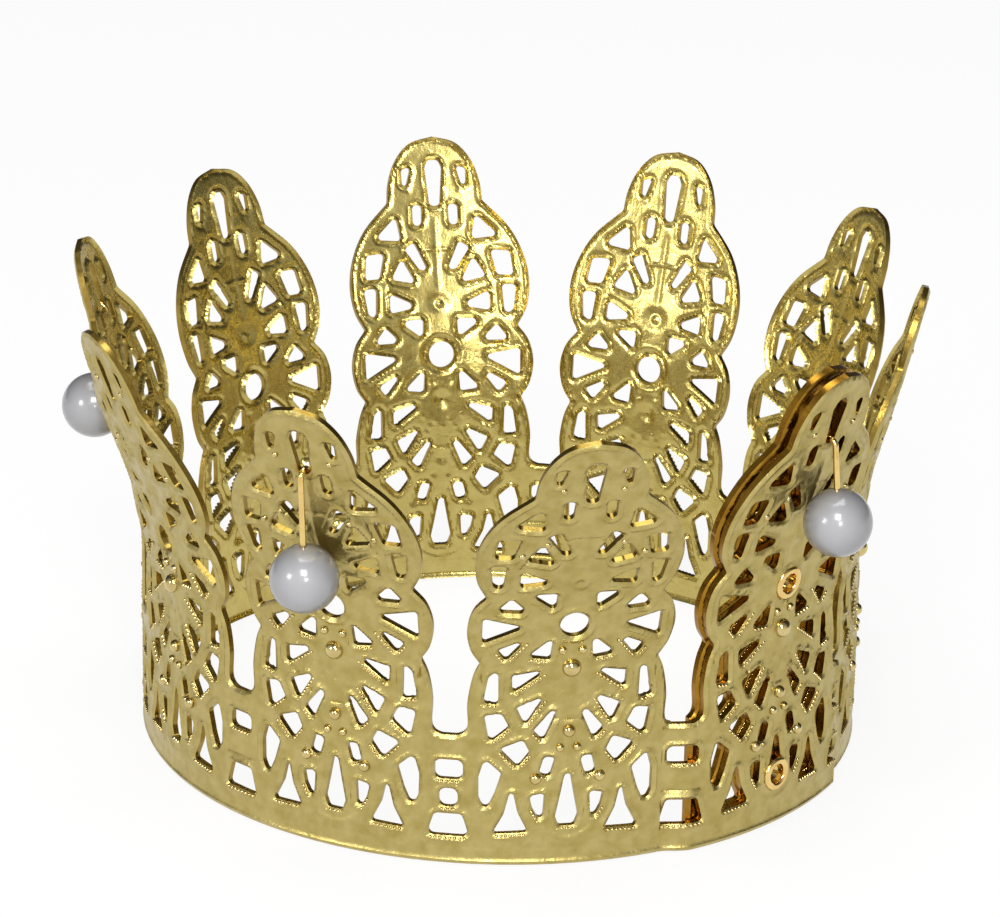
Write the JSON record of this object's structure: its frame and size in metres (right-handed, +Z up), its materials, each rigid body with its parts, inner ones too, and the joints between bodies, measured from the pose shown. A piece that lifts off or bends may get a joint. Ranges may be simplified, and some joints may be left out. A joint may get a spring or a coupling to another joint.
{
  "type": "filigree crown",
  "caption": "Small crown of thin pierced metal: a strip of fan-shaped petals rolled into a lapped, riveted ring, with pearls dangling from wire hooks.",
  "frame": {"origin": "on the ring's axis, at the bottom edge of the rim", "axes": "+Z up along the ring's axis; -Y out of the front petal, the one left of the lap; +X to the right as seen from the front"},
  "size_m": [0.1036, 0.1129, 0.0585],
  "materials": {
    "gilt_filigree": "satin gold plate on pierced brass sheet",
    "gilt_eyelet": "polished gold plate",
    "gilt_wire": "polished gold plate",
    "pearl": "pearly white coat"
  },
  "bodies": {
    "crown": {"filigree_band": "gilt_filigree", "eyelet_upper": "gilt_eyelet", "eyelet_lower": "gilt_eyelet"},
    "dangle_left": {"hook_left": "gilt_wire", "pearl_left": "pearl"},
    "dangle_front_left": {"hook_front_left": "gilt_wire", "pearl_front_left": "pearl"},
    "dangle_front_right": {"hook_front_right": "gilt_wire", "pearl_front_right": "pearl"}
  },
  "joints": [
    {"name": "swing_left", "type": "hinge", "parent": "crown", "child": "dangle_left", "pos_m": [-0.04748, 0.01543, 0.04915], "axis": [0.309, 0.9511, 0], "range_deg": [0, 20]},
    {"name": "swing_front_left", "type": "hinge", "parent": "crown", "child": "dangle_front_left", "pos_m": [-0.03028, -0.04167, 0.04872], "axis": [-0.809, 0.5878, 0], "range_deg": [0, 20]},
    {"name": "swing_front_right", "type": "hinge", "parent": "crown", "child": "dangle_front_right", "pos_m": [0.02981, -0.04103, 0.04919], "axis": [-0.809, -0.5878, 0], "range_deg": [0, 15]}
  ]
}
